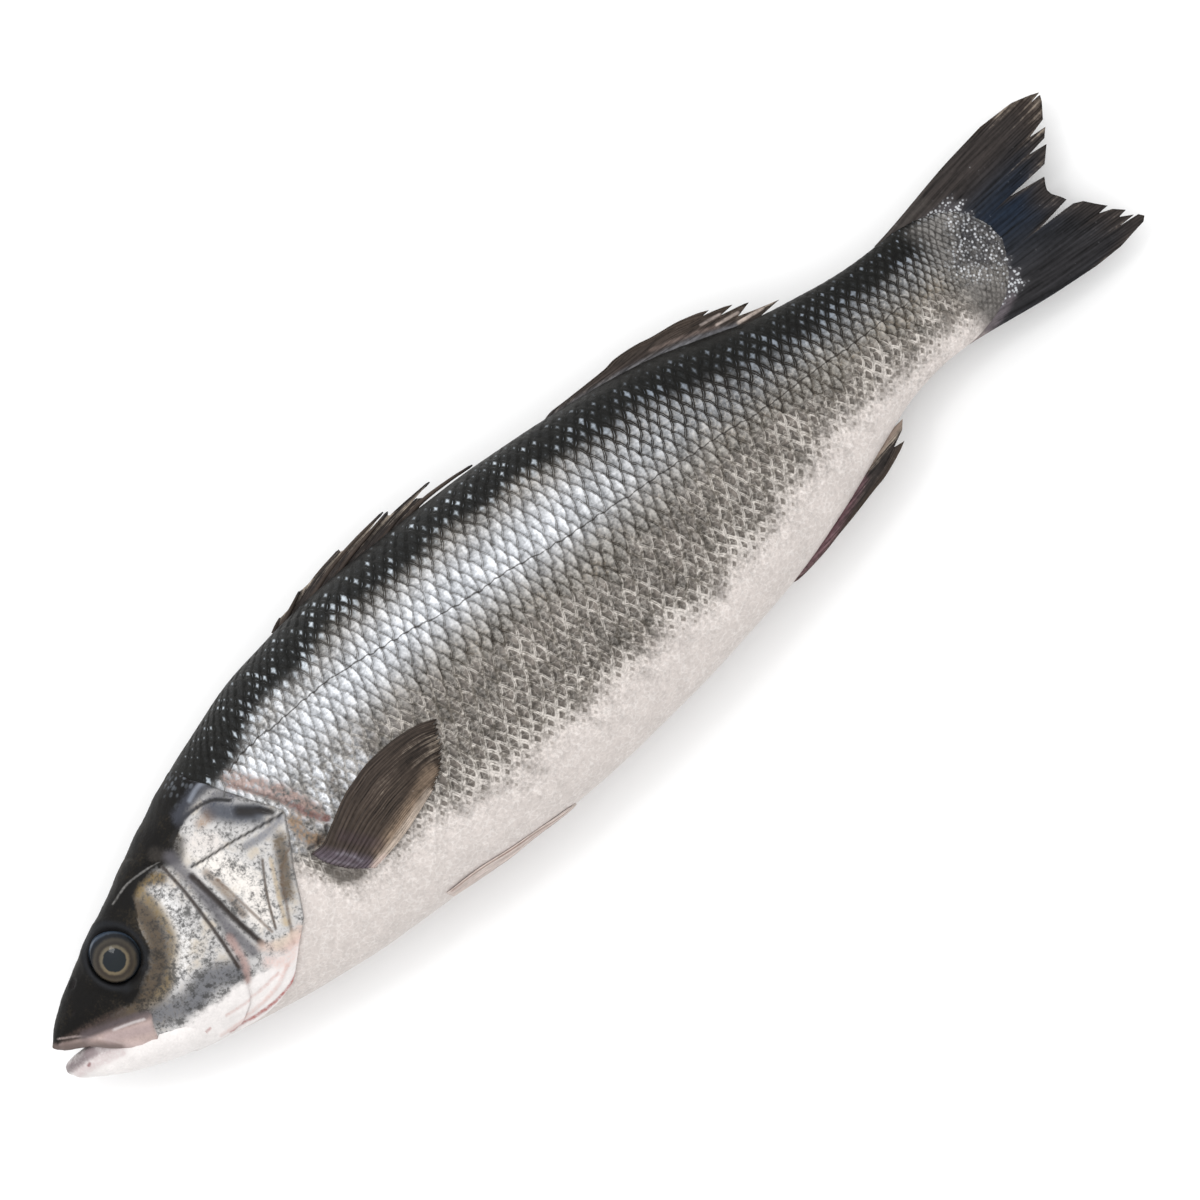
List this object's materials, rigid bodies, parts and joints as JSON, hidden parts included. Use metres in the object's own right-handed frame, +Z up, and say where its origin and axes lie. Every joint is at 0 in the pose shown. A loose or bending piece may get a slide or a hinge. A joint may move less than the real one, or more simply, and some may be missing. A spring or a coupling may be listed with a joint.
{
  "type": "whole raw fish",
  "caption": "Whole raw silver fish lying on its flank, with scaled body, folded fins, forked tail and open mouth",
  "frame": {"origin": "on the table at the middle of the fish's footprint", "axes": "+X from the snout to the tail fin, +Y from the belly to the back, +Z up from the table, out of the left flank"},
  "size_m": [0.4498, 0.1149, 0.0605],
  "materials": {
    "skin": "wet silvery scales, charcoal along the back and creamy white on the belly",
    "fin": "thin wet fin membrane over bony rays, slate to brown",
    "eye": "wet glossy eye, dark pupil in a gold-grey iris"
  },
  "bodies": {
    "root": {"fish": "skin", "left_eye": "eye", "right_eye": "eye"}
  },
  "joints": []
}
